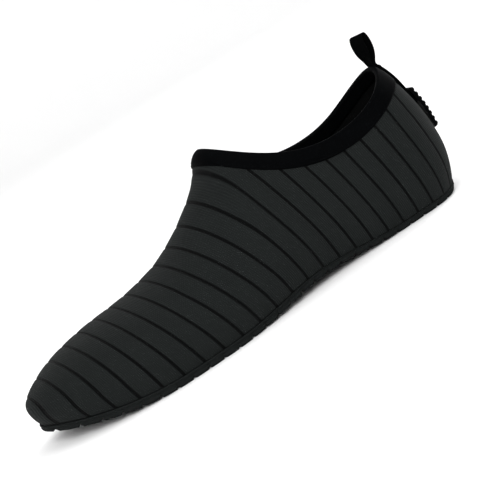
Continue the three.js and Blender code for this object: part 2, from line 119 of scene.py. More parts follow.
# The sole's side and its cross lugs. The rim is lower at the forefoot and thinner at the heel
# than the solid's.
RIM_HEIGHT_TOE = 1.4
RIM_HEIGHT_HEEL = 0.6
RIM_FADE_START = 70.0
RIM_FADE_END = 165.0
RIM_TOP = 0.8
RIM_TOP_HEEL = 0.2
RIM_FOOT = 1.3
RIM_FOOT_HEEL = 0.2
RIM_UNDERCUT = 1.1
RIM_UNDERCUT_HEEL = 1.9
LUG_PITCH = 9.2
LUG_GROOVE = 2.2
LUG_DEPTH = 1.0
LUG_SLOPE = 0.9
LUG_PHASE = 6.0
LUG_SCALLOP = 1.0  # how far the rounded side of a lug draws in at the groove
LUG_RISE = 0.8  # and how far its lower corner rises there
LUG_ROUND = 0.8  # power of that rounding
LUG_GROOVE_INSET = 0.3

# Heel tape and tab, measured down the heel from the top edge
TAPE_WIDTH = 9.5
TAPE_THICKNESS = 0.65
TAPE_END = 31.0
TAPE_ROWS = (1.0, 0.88, 0.76, 0.64, 0.52, 0.41, 0.30, 0.19, 0.09, 0.0)  # shares of TAPE_END
TAPE_LAYER_GAP = 0.12
TAPE_BINDING_GAP = 0.4  # what the tape's route allows between knit and binding
TAPE_EASE = 2.0  # it closes in from this far above the binding's end to this far above its own
LOOP_RISE = 18.0
LOOP_SPREAD = 5.4
LOOP_TWIST = math.radians(24)
TAB_START = 22.5
TAB_LENGTH = 25.0
TAB_WIDTH = 12.0
TAB_THICKNESS = 2.0
TAB_RIB = 0.8
TAB_RIBS = 8
TAB_CORNER = 2.2
TAB_END_GAP = 1.4  # its lower end stands off the heel
HEEL_RUN = 60.0  # how far down the heel's back line goes
HEEL_STEP = 0.5

# The knit's cross grooves: their places at half the upper's height, and how far each leans to
# the toe from the sole to the top, as (station, lean)
FIRST_GROOVE = 16.4
GROOVE_PITCH = 11.1
GROOVES = 23
GROOVE_HALF_WIDTH = 0.75
GROOVE_DEPTH = 0.30
PUFF = 0.12
HEEL_CALM = (1.0, 8.0)  # stations over which the relief grows
TOE_CALM = 6.0
BINDING_TUCK = 2.0  # the relief starts this far under the binding's edge
RIM_CALM = 3.0
TROUGH_CALM = 8.0
RIM_SHADE = 0.2  # painted shade at the sole's rim: the knit there is as dark as this far from a groove's middle
SIDE_SHIFT = 40.0  # sets the knit's noise of one side apart from the other's
LEANS = ((0, 0), (34, 15), (105, 25), (180, 17), (230, 8), (265, 0))

SEAT = SOLE_THICKNESS + CLEARANCE

# Cross-sections from heel to toe, as in the solid: "at" is a share of LENGTH, "outer",
# "inner" and "ridge" of BALL_WIDTH, "top" of the throat's height over the seat, "foot" of
# the width at the belly, "belly" of the height, and "round" is the power above the belly.
SECTION_COLUMNS = ("at", "outer", "inner", "ridge", "top", "foot", "belly", "round")
SECTIONS = np.array([
    (0.000, 0.330, 0.330, 0.000, 1.060, 0.82, 0.25, 1.85),
    (0.132, 0.330, 0.330, 0.000, 1.030, 0.84, 0.25, 1.80),
    (0.264, 0.346, 0.319, 0.000, 1.020, 0.84, 0.25, 1.70),
    (0.370, 0.375, 0.322, 0.000, 1.045, 0.83, 0.25, 1.60),
    (0.457, 0.420, 0.346, -0.003, 1.000, 0.85, 0.24, 1.50),
    (0.502, 0.446, 0.364, -0.004, 0.840, 0.87, 0.24, 1.50),
    (0.547, 0.470, 0.385, -0.006, 0.727, 0.88, 0.25, 1.55),
    (0.592, 0.490, 0.414, -0.008, 0.635, 0.90, 0.27, 1.65),
    (0.650, 0.509, 0.450, -0.012, 0.550, 0.92, 0.29, 1.80),
    (0.736, 0.512, 0.479, -0.021, 0.492, 0.93, 0.30, 1.95),
    (0.830, 0.492, 0.470, -0.037, 0.468, 0.93, 0.31, 2.05),
    (0.915, 0.482, 0.454, -0.060, 0.452, 0.93, 0.32, 2.10),
    (1.000, 0.436, 0.404, -0.074, 0.410, 0.95, 0.35, 2.15),
])


def lerp(a, b, t):
    return a + (b - a) * t


def fade(x, start, end):
    t = np.clip((x - start) / (end - start), 0.0, 1.0)
    return t * t * (3.0 - 2.0 * t)


def smooth_curve(xs, ys):
    """A smooth curve through some places, with no overshoot between them."""
    slopes = np.diff(ys) / np.diff(xs)
    before = np.concatenate([slopes[:1], slopes])
    after = np.concatenate([slopes, slopes[-1:]])
    same_way = before * after > 0
    total = np.where(same_way, before + after, 1.0)
    tangents = np.where(same_way, 2.0 * before * after / total, 0.0)

    def curve(x):
        at = np.clip(x, xs[0], xs[-1])
        i = np.clip(np.searchsorted(xs, at, side="right") - 1, 0, len(xs) - 2)
        span = xs[i + 1] - xs[i]
        t = (at - xs[i]) / span
        rise = ys[i + 1] - ys[i]
        third = span * (tangents[i] + tangents[i + 1]) - 2.0 * rise
        second = 3.0 * rise - span * (2.0 * tangents[i] + tangents[i + 1])
        return ys[i] + t * (span * tangents[i] + t * (second + t * third))

    return curve


def column(name, scale):
    return smooth_curve(SECTIONS[:, 0] * LENGTH, SECTIONS[:, SECTION_COLUMNS.index(name)] * scale)


outer_width = column("outer", BALL_WIDTH)
inner_width = column("inner", BALL_WIDTH)
ridge_y = column("ridge", BALL_WIDTH)
top_height = column("top", THROAT_HEIGHT - SEAT)
foot_ratio = column("foot", 1.0)
belly_share = column("belly", 1.0)
round_power = column("round", 1.0)
lean = smooth_curve(*np.array(LEANS, float).T)


def lift(x):
    """How far the sole line stands above its flat spots: heel edge, arch and toe spring."""
    kick = HEEL_KICK * np.maximum(0.0, 1.0 - x / HEEL_FLAT) ** 2
    arch = np.clip((x - ARCH_START) / (ARCH_END - ARCH_START), 0.0, 1.0)
    spring = np.maximum(0.0, (x - SPRING_START) / (LENGTH - SPRING_START))
    return kick + ARCH_RISE * np.sin(math.pi * arch) ** 2 + TOE_SPRING * spring ** SPRING_CURVE


def foot_z(x):
    return SEAT + lift(x)


def ridge_z(x):
    return SEAT + top_height(x)


def heel_level(x):
    return 1.0 - np.clip(x / HEEL_ROUND, 0.0, 1.0)


def toe_level(x):
    return 1.0 - np.clip((LENGTH - x) / TOE_ROUND, 0.0, 1.0)


def section_square(x, z):
    """The section's width at a height, squared, as a share of its width at the belly."""
    share = (z - foot_z(x)) / (ridge_z(x) - foot_z(x))
    belly = belly_share(x)
    low = (1.0 - (1.0 - foot_ratio(x)) * (1.0 - np.maximum(0.0, share) / belly) ** 2) ** 2
    above = np.maximum(0.0, (share - belly) / (1.0 - belly))
    return np.where(share < belly, low, 1.0 - above ** round_power(x))


def field(points):
    """Zero on the upper's outside, negative within."""
    x, y, z = points[..., 0], points[..., 1], points[..., 2]
    side = y - ridge_y(x)
    width = np.where(side > 0, outer_width(x), inner_width(x))
    return (side / width) ** 2 + heel_level(x) ** 2 + toe_level(x) ** 2 - section_square(x, z)


PROBE = 0.02


def unit(vectors):
    return vectors / np.maximum(np.linalg.norm(vectors, axis=-1, keepdims=True), 1e-12)


def outward(points):
    steps = PROBE * np.eye(3)
    return unit(np.stack([field(points + step) - field(points - step) for step in steps], axis=-1))


def settle(points):
    """The nearest places on the upper's outside."""
    at = np.array(points, dtype=float)
    for _ in range(8):
        normal = outward(at)
        here = field(at)
        slope = (field(at + normal * PROBE) - here) / PROBE
        at = at + normal * np.clip(-here / slope, -2.0, 2.0)[..., None]
    return at


def row_place(station, share):
    """Places of a cross row in the side view: the row's station, which is its place at the
    sole, and its height as a share. Rows lean as the knit's grooves do."""
    at = station + lean(station) * share
    toe = toe_level(at)
    back = heel_level(at) ** 2
    foot_x = at + (back * HEEL_ROUND - toe * TOE_ROUND) * (1.0 - foot_ratio(at))
    belly = lerp(foot_z(at), ridge_z(at), belly_share(at))
    highest = belly + (ridge_z(at) - belly) * (1.0 - toe * toe) ** (1.0 / round_power(at))
    z = lerp(foot_z(foot_x), highest, share)
    x = at
    for _ in range(12):
        square = np.maximum(0.0, section_square(x, z))
        tuck = np.where(z < belly, np.sqrt(square), 1.0)
        x = at + back * HEEL_ROUND * (1.0 - np.sqrt(square)) - TOE_ROUND * toe * (1.0 - tuck)
    return x, z


def on_upper(station, share, side):
    station, share = np.broadcast_arrays(np.asarray(station, float), np.asarray(share, float))
    x, z = row_place(station, share)
    level = section_square(x, z) - heel_level(x) ** 2 - toe_level(x) ** 2
    at_end = (station <= 0.0) | (station >= LENGTH) | (share >= 1.0)
    width = outer_width(x) if side > 0 else inner_width(x)
    half = np.where(at_end, 0.0, np.sqrt(np.maximum(0.0, level)) * width)
    return np.stack([x, ridge_y(x) + side * half, z], axis=-1)


collar_back_x = 0.0
for _ in range(12):
    collar_back_x = float(HEEL_ROUND * (1.0 - np.sqrt(section_square(collar_back_x, HEEL_HEIGHT))))

every_station = np.linspace(0.0, LENGTH, 1061)
throat_station = float(np.interp(THROAT_PLACE, every_station + lean(every_station), every_station))


def halve(low, high, holds):
    """Narrows the places between which a test stops holding."""
    for _ in range(40):
        middle = (low + high) / 2.0
        held = holds(middle)
        low = np.where(held, middle, low)
        high = np.where(held, high, middle)
    return low, high


def collar_z(x):
    """Height of the top edge, from the back of the heel over the sides to the throat."""
    back = np.maximum(0.0, (SIDE_PLACE - x) / (SIDE_PLACE - collar_back_x)) ** BACK_DIP
    front = np.maximum(0.0, (x - SIDE_PLACE) / (THROAT_PLACE - SIDE_PLACE)) ** FRONT_DIP
    over_heel = lerp(SIDE_HEIGHT, HEEL_HEIGHT, back)
    return np.where(x < SIDE_PLACE, over_heel, lerp(SIDE_HEIGHT, ridge_z(THROAT_PLACE), front))


def row_end(station):
    """Share of a row's height at which it ends: at the collar, or at the ridge past the throat."""

    def below(share):
        x, z = row_place(station, share)
        return z < collar_z(x)

    low, _ = halve(np.zeros_like(station), np.ones_like(station), below)
    return np.where(station >= throat_station, 1.0, low)


def lengths_along(points):
    steps = np.linalg.norm(np.diff(points, axis=-2), axis=-1)
    return np.concatenate([np.zeros_like(steps[..., :1]), np.cumsum(steps, axis=-1)], axis=-1)


def points_at(wanted, run, line):
    """Points of a line at some lengths of its run."""
    return np.stack([np.interp(wanted, run, values) for values in line.T], axis=-1)


def row_points(stations, side, count):
    """Rows of points from the lower edge up, evenly spaced along the surface, and the
    length along each row from its lower edge."""
    samples = 120
    end = row_end(stations)[:, None]
    shares = end * np.sin(np.linspace(0.0, math.pi / 2, samples + 1))[None, :]
    lengths = lengths_along(on_upper(stations[:, None], shares, side))
    wanted = np.linspace(0.0, 1.0, count + 1)
    even = np.stack([
        np.interp(wanted * run[-1], run, share) for run, share in zip(lengths, shares)
    ])
    even[:, -1] = end[:, 0]
    return on_upper(stations[:, None], even, side), lengths[:, -1:] * wanted[None, :]


# Meshes

def grid_faces(rows, columns, close_rows=False, close_columns=False, first=0):
    """Quads of a grid of points, row by row."""
    i = np.arange(rows if close_rows else rows - 1)
    j = np.arange(columns if close_columns else columns - 1)
    i, j = np.meshgrid(i, j, indexing="ij")
    below, beside = (i + 1) % rows, (j + 1) % columns
    corners = [i * columns + j, below * columns + j, below * columns + beside, i * columns + beside]
    return first + np.stack(corners, axis=-1).reshape(-1, 4)


def cloth_places(along, across, apart=0.0):
    return np.stack(np.broadcast_arrays(along, across, apart), axis=-1)


def add_object(name, data):
    made = bpy.data.objects.new(name, data)
    bpy.context.scene.collection.objects.link(made)
    return made


class Sheets:
    """Gathers grids of points into one mesh, with values for its points and a material each."""

    def __init__(self):
        self.points, self.faces, self.kinds = [], [], []
        self.values = {}
        self.count = 0

    def add(self, points, kind=0, close_rows=False, close_columns=False, **values):
        rows, columns = points.shape[:2]
        faces = grid_faces(rows, columns, close_rows, close_columns, self.count)
        self.points.append(points.reshape(-1, 3))
        self.faces.append(faces)
        self.kinds.append(np.full(len(faces), kind))
        for name, value in values.items():
            self.values.setdefault(name, []).append(value.reshape(rows * columns, -1))
        self.count += rows * columns

    def make(self, name, merge=0.005, sharp=None):
        mesh = bpy.data.meshes.new(name)
        points = (np.concatenate(self.points) - (ORIGIN_X, 0.0, 0.0)) * MM
        mesh.from_pydata(points.tolist(), [], np.concatenate(self.faces).tolist())
        mesh.polygons.foreach_set("material_index", np.concatenate(self.kinds))
        for value_name, parts in self.values.items():
            values = np.concatenate(parts)
            wide = values.shape[1] == 3
            kind, field_name = ("FLOAT_VECTOR", "vector") if wide else ("FLOAT", "value")
            layer = mesh.attributes.new(value_name, kind, "POINT")
            layer.data.foreach_set(field_name, values.ravel())
        work = bmesh.new()
        work.from_mesh(mesh)
        bmesh.ops.remove_doubles(work, verts=work.verts, dist=merge * MM)
        bmesh.ops.recalc_face_normals(work, faces=work.faces)
        work.to_mesh(mesh)
        work.free()
        mesh.shade_smooth()
        if sharp:
            mesh.set_sharp_from_angle(angle=math.radians(sharp))
        return add_object(name, mesh)


def dress(piece, finishes, node=None):
    for finish in finishes:
        piece.data.materials.append(finish)
    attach(piece, "root")
    if node:
        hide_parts(node)


def threads(name, centres, along, normals, length, radius):
    """Short raised stitches, as one mesh. Their ends dip into the cloth."""
    rings, sides = 7, 6
    t = np.linspace(-1.0, 1.0, rings)
    turn = np.arange(sides) * 2.0 * math.pi / sides
    thick = radius * np.sqrt(np.maximum(0.02, 1.0 - t ** 4))
    side_way = unit(np.cross(normals, along))
    sheets = Sheets()
    for centre, way, beside, up in zip(centres, along, side_way, normals):
        spine = centre + np.outer(t * length / 2.0, way) - np.outer(t * t * radius * 1.3, up)
        across = np.cos(turn)[:, None] * beside + np.sin(turn)[:, None] * up
        ring_points = spine[:, None, :] + thick[:, None, None] * across
        ends = np.repeat(spine[[0, -1], None], sides, axis=1)
        sheets.add(np.concatenate([ends[:1], ring_points, ends[1:]]), close_columns=True)
    return sheets.make(name)


# Materials

class Tree:
    """Short calls for the nodes of one material."""

    def __init__(self, name):
        self.material = bpy.data.materials.new(name)
        self.material.use_nodes = True
        self.tree = self.material.node_tree
        self.shader = self.tree.nodes["Principled BSDF"]

    def node(self, kind, inputs=(), **settings):
        made = self.tree.nodes.new(kind)
        for key, value in settings.items():
            setattr(made, key, value)
        for key, value in dict(inputs).items():
            self.feed(made.inputs[key], value)
        return made

    def feed(self, socket, value):
        if isinstance(value, bpy.types.NodeSocket):
            self.tree.links.new(value, socket)
        else:
            socket.default_value = value

    def math(self, operation, a, b=0.0, c=0.0):
        inputs = {0: a, 1: b, 2: c}
        return self.node("ShaderNodeMath", inputs, operation=operation).outputs[0]

    def total(self, *parts):
        """The sum of some values, each with its weight."""
        whole = 0.0
        for value, weight in parts:
            whole = self.math("MULTIPLY_ADD", value, weight, whole)
        return whole

    def wave(self, value, pitch, phase=0.0):
        """From 0 to 1 and back, once each pitch."""
        turn = self.math("MULTIPLY_ADD", value, 2.0 * math.pi / pitch, phase)
        return self.math("MULTIPLY_ADD", self.math("SINE", turn), 0.5, 0.5)

    def attribute(self, name):
        return self.node("ShaderNodeAttribute", attribute_name=name).outputs

    def split(self, vector):
        return self.node("ShaderNodeSeparateXYZ", {0: vector}).outputs

    def place(self):
        return self.node("ShaderNodeTexCoord").outputs["Object"]

    def cloth(self):
        """Places on the cloth in mm, and their parts along it and across."""
        places = self.attribute("cloth")["Vector"]
        along, across, _ = self.split(places)
        return places, along, across

    def noise(self, vector, scale, detail=2.0, roughness=0.5):
        inputs = {"Vector": vector, "Scale": scale, "Detail": detail, "Roughness": roughness}
        return self.node("ShaderNodeTexNoise", inputs).outputs["Fac"]

    def remap(self, value, low, high, new_low, new_high):
        inputs = {0: value, 1: low, 2: high, 3: new_low, 4: new_high}
        return self.node("ShaderNodeMapRange", inputs, interpolation_type="SMOOTHSTEP").outputs[0]

    def mix(self, share, a, b):
        inputs = {0: share, 6: a, 7: b}
        return self.node("ShaderNodeMix", inputs, data_type="RGBA").outputs[2]

    def bump(self, height, distance):
        inputs = {"Height": height, "Distance": distance * MM}
        return self.node("ShaderNodeBump", inputs).outputs["Normal"]

    def finish(self, base, roughness, specular, normal=None):
        self.feed(self.shader.inputs["Base Color"], base)
        self.feed(self.shader.inputs["Roughness"], roughness)
        self.feed(self.shader.inputs["Specular IOR Level"], specular)
        if normal is not None:
            self.feed(self.shader.inputs["Normal"], normal)
        return self.material


def colour(red, green, blue):
    return (red, green, blue, 1.0)


DARK_YARN = colour(0.0004, 0.0005, 0.0006)
KNIT_LIGHT = colour(0.0094, 0.0108, 0.0106)
KNIT_DARK = colour(0.0060, 0.0071, 0.0069)
# the grooves' own dark colour, also used as painted shade along the knit's lower edge at the sole's rim
KNIT_GROOVE_AND_RIM_SHADE = colour(0.0010, 0.0012, 0.0012)


def knit_material():
    """Fine stretch knit: upright wales of small loops, darker and denser in the grooves."""
    wale, course = 1.05, 0.9
    tree = Tree("stretch_knit")
    cloth, along, up = tree.cloth()
    seam = tree.attribute("seam")["Fac"]
    across = tree.math("PINGPONG", along, wale / 2.0)
    slanted = tree.math("MULTIPLY_ADD", across, 0.9, up)
    loops = tree.wave(slanted, course)
    ribs = tree.wave(along, wale, -math.pi / 2.0)
    stitch = tree.math("MULTIPLY", tree.math("MULTIPLY_ADD", loops, 0.6, 0.4), ribs)
    fibres = tree.noise(cloth, 2.6, 4.0, 0.7)
    patches = tree.noise(cloth, 0.05, 2.0)
    height = tree.total((stitch, 1.0), (fibres, 0.35))
    tone = tree.total((fibres, 0.55), (stitch, 0.45), (patches, 0.3))
    body = tree.mix(tree.remap(tone, 0.2, 0.95, 0.0, 1.0), KNIT_DARK, KNIT_LIGHT)
    # dark in the grooves, and painted shade in a thin strip just above the sole's rim
    dark_groove_and_rim_shade = tree.remap(seam, 0.45, 1.15, 1.0, 0.0)
    base = tree.mix(dark_groove_and_rim_shade, body, KNIT_GROOVE_AND_RIM_SHADE)
    tree.shader.inputs["Sheen Weight"].default_value = 0.02
    tree.shader.inputs["Sheen Roughness"].default_value = 0.45
    return tree.finish(base, 0.88, 0.04, tree.bump(height, 0.16))


def lining_material():
    tree = Tree("lining")
    cloth, along, up = tree.cloth()
    weave = tree.math("MULTIPLY", tree.wave(along, 0.8), tree.wave(up, 0.8))
    tone = tree.total((tree.noise(cloth, 1.2, 3.0), 0.5), (weave, 1.0))
    base = tree.mix(tone, colour(0.0012, 0.0013, 0.0013), colour(0.0032, 0.0035, 0.0035))
    return tree.finish(base, 0.9, 0.02, tree.bump(tone, 0.12))


def binding_material():
    """Smooth elastic with fine lengthwise threads."""
    tree = Tree("elastic_binding")
    cloth, along, around = tree.cloth()
    yarns = tree.wave(around, 0.55)
    picks = tree.wave(along, 0.8)
    grain = tree.noise(cloth, 1.8, 3.0, 0.6)
    height = tree.total((yarns, 1.0), (picks, 0.25), (grain, 0.5))
    broad = tree.noise(cloth, 0.06, 2.0)
    tone = tree.total((grain, 0.5), (broad, 0.6))
    base = tree.mix(tone, DARK_YARN, colour(0.0012, 0.0014, 0.0016))
    rough = tree.remap(grain, 0.2, 0.8, 0.50, 0.64)
    return tree.finish(base, rough, 0.008, tree.bump(height, 0.05))


def rubber_material(name, dark, light, roughness, specular):
    """Moulded rubber: a fine satin grain with faint flow marks."""
    tree = Tree(name)
    place = tree.place()
    grain = tree.noise(place, 2600.0, 3.0, 0.6)
    marks = tree.noise(place, 90.0, 3.0, 0.55)
    tone = tree.total((grain, 0.3), (marks, 0.7))
    rough = tree.remap(marks, 0.25, 0.75, roughness - 0.06, roughness + 0.08)
    return tree.finish(tree.mix(tone, dark, light), rough, specular, tree.bump(grain, 0.05))


def webbing_material():
    """Woven tape: ribs across it, in a fine herringbone."""
    tree = Tree("woven_tape")
    cloth, along, across = tree.cloth()
    zigzag = tree.math("MULTIPLY_ADD", tree.math("PINGPONG", across, 1.2), 0.8, along)
    ribs = tree.wave(zigzag, 0.75)
    yarns = tree.wave(across, 0.6)
    grain = tree.noise(cloth, 2.4, 3.0, 0.6)
    height = tree.total((ribs, 1.0), (yarns, 0.4))
    tone = tree.total((grain, 0.4), (ribs, 0.5))
    base = tree.mix(tone, DARK_YARN, colour(0.0018, 0.0020, 0.0021))
    return tree.finish(base, 0.78, 0.006, tree.bump(height, 0.14))


def insole_material():
    tree = Tree("insole_face")
    place = tree.place()
    x, y, _ = tree.split(place)
    pitch = 1.1 * MM
    weave = tree.math("MULTIPLY", tree.wave(x, pitch), tree.wave(y, pitch))
    soft = tree.noise(place, 400.0, 3.0)
    tone = tree.total((soft, 0.4), (weave, 0.6))
    base = tree.mix(tone, colour(0.0014, 0.0015, 0.0016), colour(0.0040, 0.0043, 0.0044))
    return tree.finish(base, 0.92, 0.03, tree.bump(tone, 0.15))


def thread_material():
    tree = Tree("sewing_thread")
    place = tree.place()
    twist = tree.noise(place, 3000.0, 2.0)
    base = tree.mix(twist, DARK_YARN, colour(0.0013, 0.0015, 0.0016))
    return tree.finish(base, 0.7, 0.008, tree.bump(twist, 0.05))


# Upper

def half_way_up(station):
    return station + lean(station) / 2.0


def groove_distance(station):
    """How far a row lies from the middle of the nearest groove."""
    place = half_way_up(station)
    nearest = np.clip(np.round((place - FIRST_GROOVE) / GROOVE_PITCH), 0, GROOVES - 1)
    return np.abs(place - FIRST_GROOVE - nearest * GROOVE_PITCH)


# Rows of the mesh, from the middle of a groove
GROOVE_ROWS = (-1.3, -0.95, -0.65, -0.35, 0.0, 0.35, 0.65, 0.95, 1.3)
PUFF_ROWS = (2.0, 3.1, 4.4, 5.6, 6.8, 8.1, 9.2)
END_ROWS = 30


def tip_shares(count, turn=math.pi / 2.0):
    """Rows of a rounded end, close together at its tip, as shares of its length."""
    return 1.0 - np.cos(np.linspace(0.0, turn, count))


def upper_stations():
    """Rows close together in each groove, wider over the puffs, and even round both ends."""
    grooves = FIRST_GROOVE + GROOVE_PITCH * np.arange(GROOVES)
    rows = (grooves[:, None] + np.concatenate([GROOVE_ROWS, PUFF_ROWS])[None, :]).ravel()
    rows = rows[rows <= grooves[-1] + GROOVE_ROWS[-1]]
    rows = np.interp(rows, half_way_up(every_station), every_station)
    heel_turn = math.acos(1.0 - rows[0] / HEEL_ROUND)
    heel = HEEL_ROUND * tip_shares(END_ROWS, heel_turn)[:-1]
    toe_turn = math.acos(1.0 - (LENGTH - rows[-1]) / TOE_ROUND)
    toe = LENGTH - TOE_ROUND * tip_shares(END_ROWS, toe_turn)[:-1]
    return np.concatenate([heel, rows, [throat_station], toe]).clip(0.0, LENGTH)


# Soft troughs of the empty knit: from and to as (station, height above the sole),
# half-width and depth, and the side it is on
TROUGHS = (
    ((176, 16), (164, 40), 7.0, 0.55, 1),
    ((158, 20), (150, 46), 6.0, 0.35, 1),
    ((178, 14), (168, 36), 7.0, 0.55, -1),
    ((118, 22), (100, 52), 9.0, 0.45, 1),
    ((120, 20), (98, 50), 9.0, 0.50, -1),
    ((62, 20), (50, 44), 9.0, 0.40, 1),
    ((64, 20), (52, 44), 9.0, 0.45, -1),
    ((30, 24), (24, 46), 6.0, 0.30, 1),
    ((30, 24), (24, 46), 6.0, 0.30, -1),
    ((214, 14), (206, 34), 8.0, 0.30, 1),
)


def trough_depth(station, height, side):
    total = np.zeros_like(station)
    for start, end, half_width, depth, on_side in TROUGHS:
        if on_side != side:
            continue
        run = np.subtract(end, start).astype(float)
        share = ((station - start[0]) * run[0] + (height - start[1]) * run[1]) / (run @ run)
        share = np.clip(share, 0.0, 1.0)
        away = np.hypot(station - start[0] - share * run[0], height - start[1] - share * run[1])
        total += depth * np.exp(-(away / half_width) ** 2)
    return total


def knit_relief(station, height, from_top, side):
    """How far the knit stands proud of the plain form."""
    distance = groove_distance(station)
    puff = PUFF * np.sin(math.pi * np.minimum(distance / GROOVE_PITCH, 0.5))
    groove = GROOVE_DEPTH * np.exp(-(distance / GROOVE_HALF_WIDTH) ** 2)
    rim = np.where(station > RIM_FADE_START, RIM_HEIGHT_TOE, RIM_HEIGHT_HEEL)
    ends = fade(station, *HEEL_CALM) * fade(station, LENGTH, LENGTH - TOE_CALM)
    covered = (station < throat_station) & (from_top < BINDING_HEIGHT + 1.0)
    below_edge = fade(from_top, BINDING_HEIGHT - BINDING_TUCK, BINDING_HEIGHT)
    open_cloth = np.where(covered, below_edge, 1.0) * fade(height, rim, rim + RIM_CALM)
    soft = trough_depth(station, height, side) * fade(height, rim, rim + TROUGH_CALM) * open_cloth
    return (puff * ends - groove * ends) * open_cloth - soft


def make_upper():
    stations = np.unique(upper_stations())
    outer_columns, inner_columns = 64, 14
    sheets = Sheets()
    collar_rows = stations <= throat_station
    for side in (1, -1):
        wall, height = row_points(stations, side, outer_columns)
        along = np.broadcast_to(stations[:, None], height.shape)
        from_top = height[:, -1:] - height
        relief = knit_relief(along, height, from_top, side)
        skin = wall + outward(wall) * relief[..., None]
        cloth = cloth_places(along, from_top, side * SIDE_SHIFT)
        rim = along_rim(along, RIM_HEIGHT_HEEL, RIM_HEIGHT_TOE)
        # painted shade: the knit goes groove-dark in a thin strip just above the sole's rim
        painted_rim_shade_distance = np.maximum(0.0, height - rim) + RIM_SHADE
        sheets.add(skin, cloth=cloth, seam=np.minimum(groove_distance(along), painted_rim_shade_distance))
        inside, deep = row_points(stations, side, inner_columns)
        inside = inside - outward(inside) * UPPER_WALL
        cloth_in = cloth_places(stations[:, None], deep[:, -1:] - deep, side)
        far = np.full_like(deep, GROOVE_PITCH)
        sheets.add(inside, kind=1, cloth=cloth_in, seam=far)
        for column_at, rows in ((0, slice(None)), (-1, collar_rows)):
            edge = np.stack([skin[rows, column_at], inside[rows, column_at]])
            edge_cloth = np.stack([cloth[rows, column_at], cloth_in[rows, column_at]])
            sheets.add(edge, cloth=edge_cloth, seam=np.full(edge.shape[:2], GROOVE_PITCH))
    piece = sheets.make("knit_upper")
    dress(piece, (knit_material(), lining_material()), "upper")


# Outsole

sole_back = float(row_place(np.array(0.0), np.array(0.0))[0])
sole_front = float(row_place(np.array(LENGTH), np.array(0.0))[0])


def station_at(places):
    """Stations whose lower edge lies at given places along the shoe."""

    def before(station):
        return row_place(station, np.zeros_like(station))[0] < places

    low, high = halve(np.zeros_like(places), np.full_like(places, LENGTH), before)
    return (low + high) / 2.0


def groove_share(x):
    """How deep the sole's cross grooves are at a place, from 0 on a lug to 1."""
    place = np.mod(x - sole_back - LUG_PHASE, LUG_PITCH) - (LUG_PITCH - LUG_GROOVE)
    return fade(place, 0.0, LUG_SLOPE) * fade(place, LUG_GROOVE, LUG_GROOVE - LUG_SLOPE)


def between_lugs(x):
    """How far the rounded side of a lug draws in, from 0 at its middle to 1 in the groove."""
    turn = (x - sole_back - LUG_PHASE + LUG_GROOVE / 2.0) / LUG_PITCH
    return 1.0 - np.abs(np.sin(math.pi * turn)) ** LUG_ROUND


LUG_ROWS = (0.6, 1.6, 3.0, 4.5, 5.8, 6.6)
CLOSEST_ROWS = 0.06


def sole_stations():
    """Rows close together on the slopes of each groove, wider over the lugs."""
    slope = np.linspace(0.0, LUG_SLOPE, 5)
    offsets = np.concatenate([slope - LUG_GROOVE, [-LUG_GROOVE / 2.0], -slope[::-1], LUG_ROWS])
    starts = np.arange(sole_back + LUG_PHASE, sole_front + LUG_PITCH, LUG_PITCH)
    turns = tip_shares(END_ROWS)
    places = np.concatenate([
        (starts[:, None] + offsets[None, :]).ravel(),
        sole_back + turns * HEEL_ROUND,
        sole_front - turns * TOE_ROUND,
    ])
    places = np.unique(places[(places > sole_back) & (places < sole_front)])
    spaced = places[np.concatenate([[True], np.diff(places) > CLOSEST_ROWS])]
    return np.concatenate([[0.0], station_at(spaced), [LENGTH]])


def along_rim(x, heel, toe):
    """A size of the sole's rim, from its value at the heel to that at the forefoot."""
    return lerp(heel, toe, fade(x, RIM_FADE_START, RIM_FADE_END))


def level_way(directions):
    return unit(directions * (1.0, 1.0, 0.0))


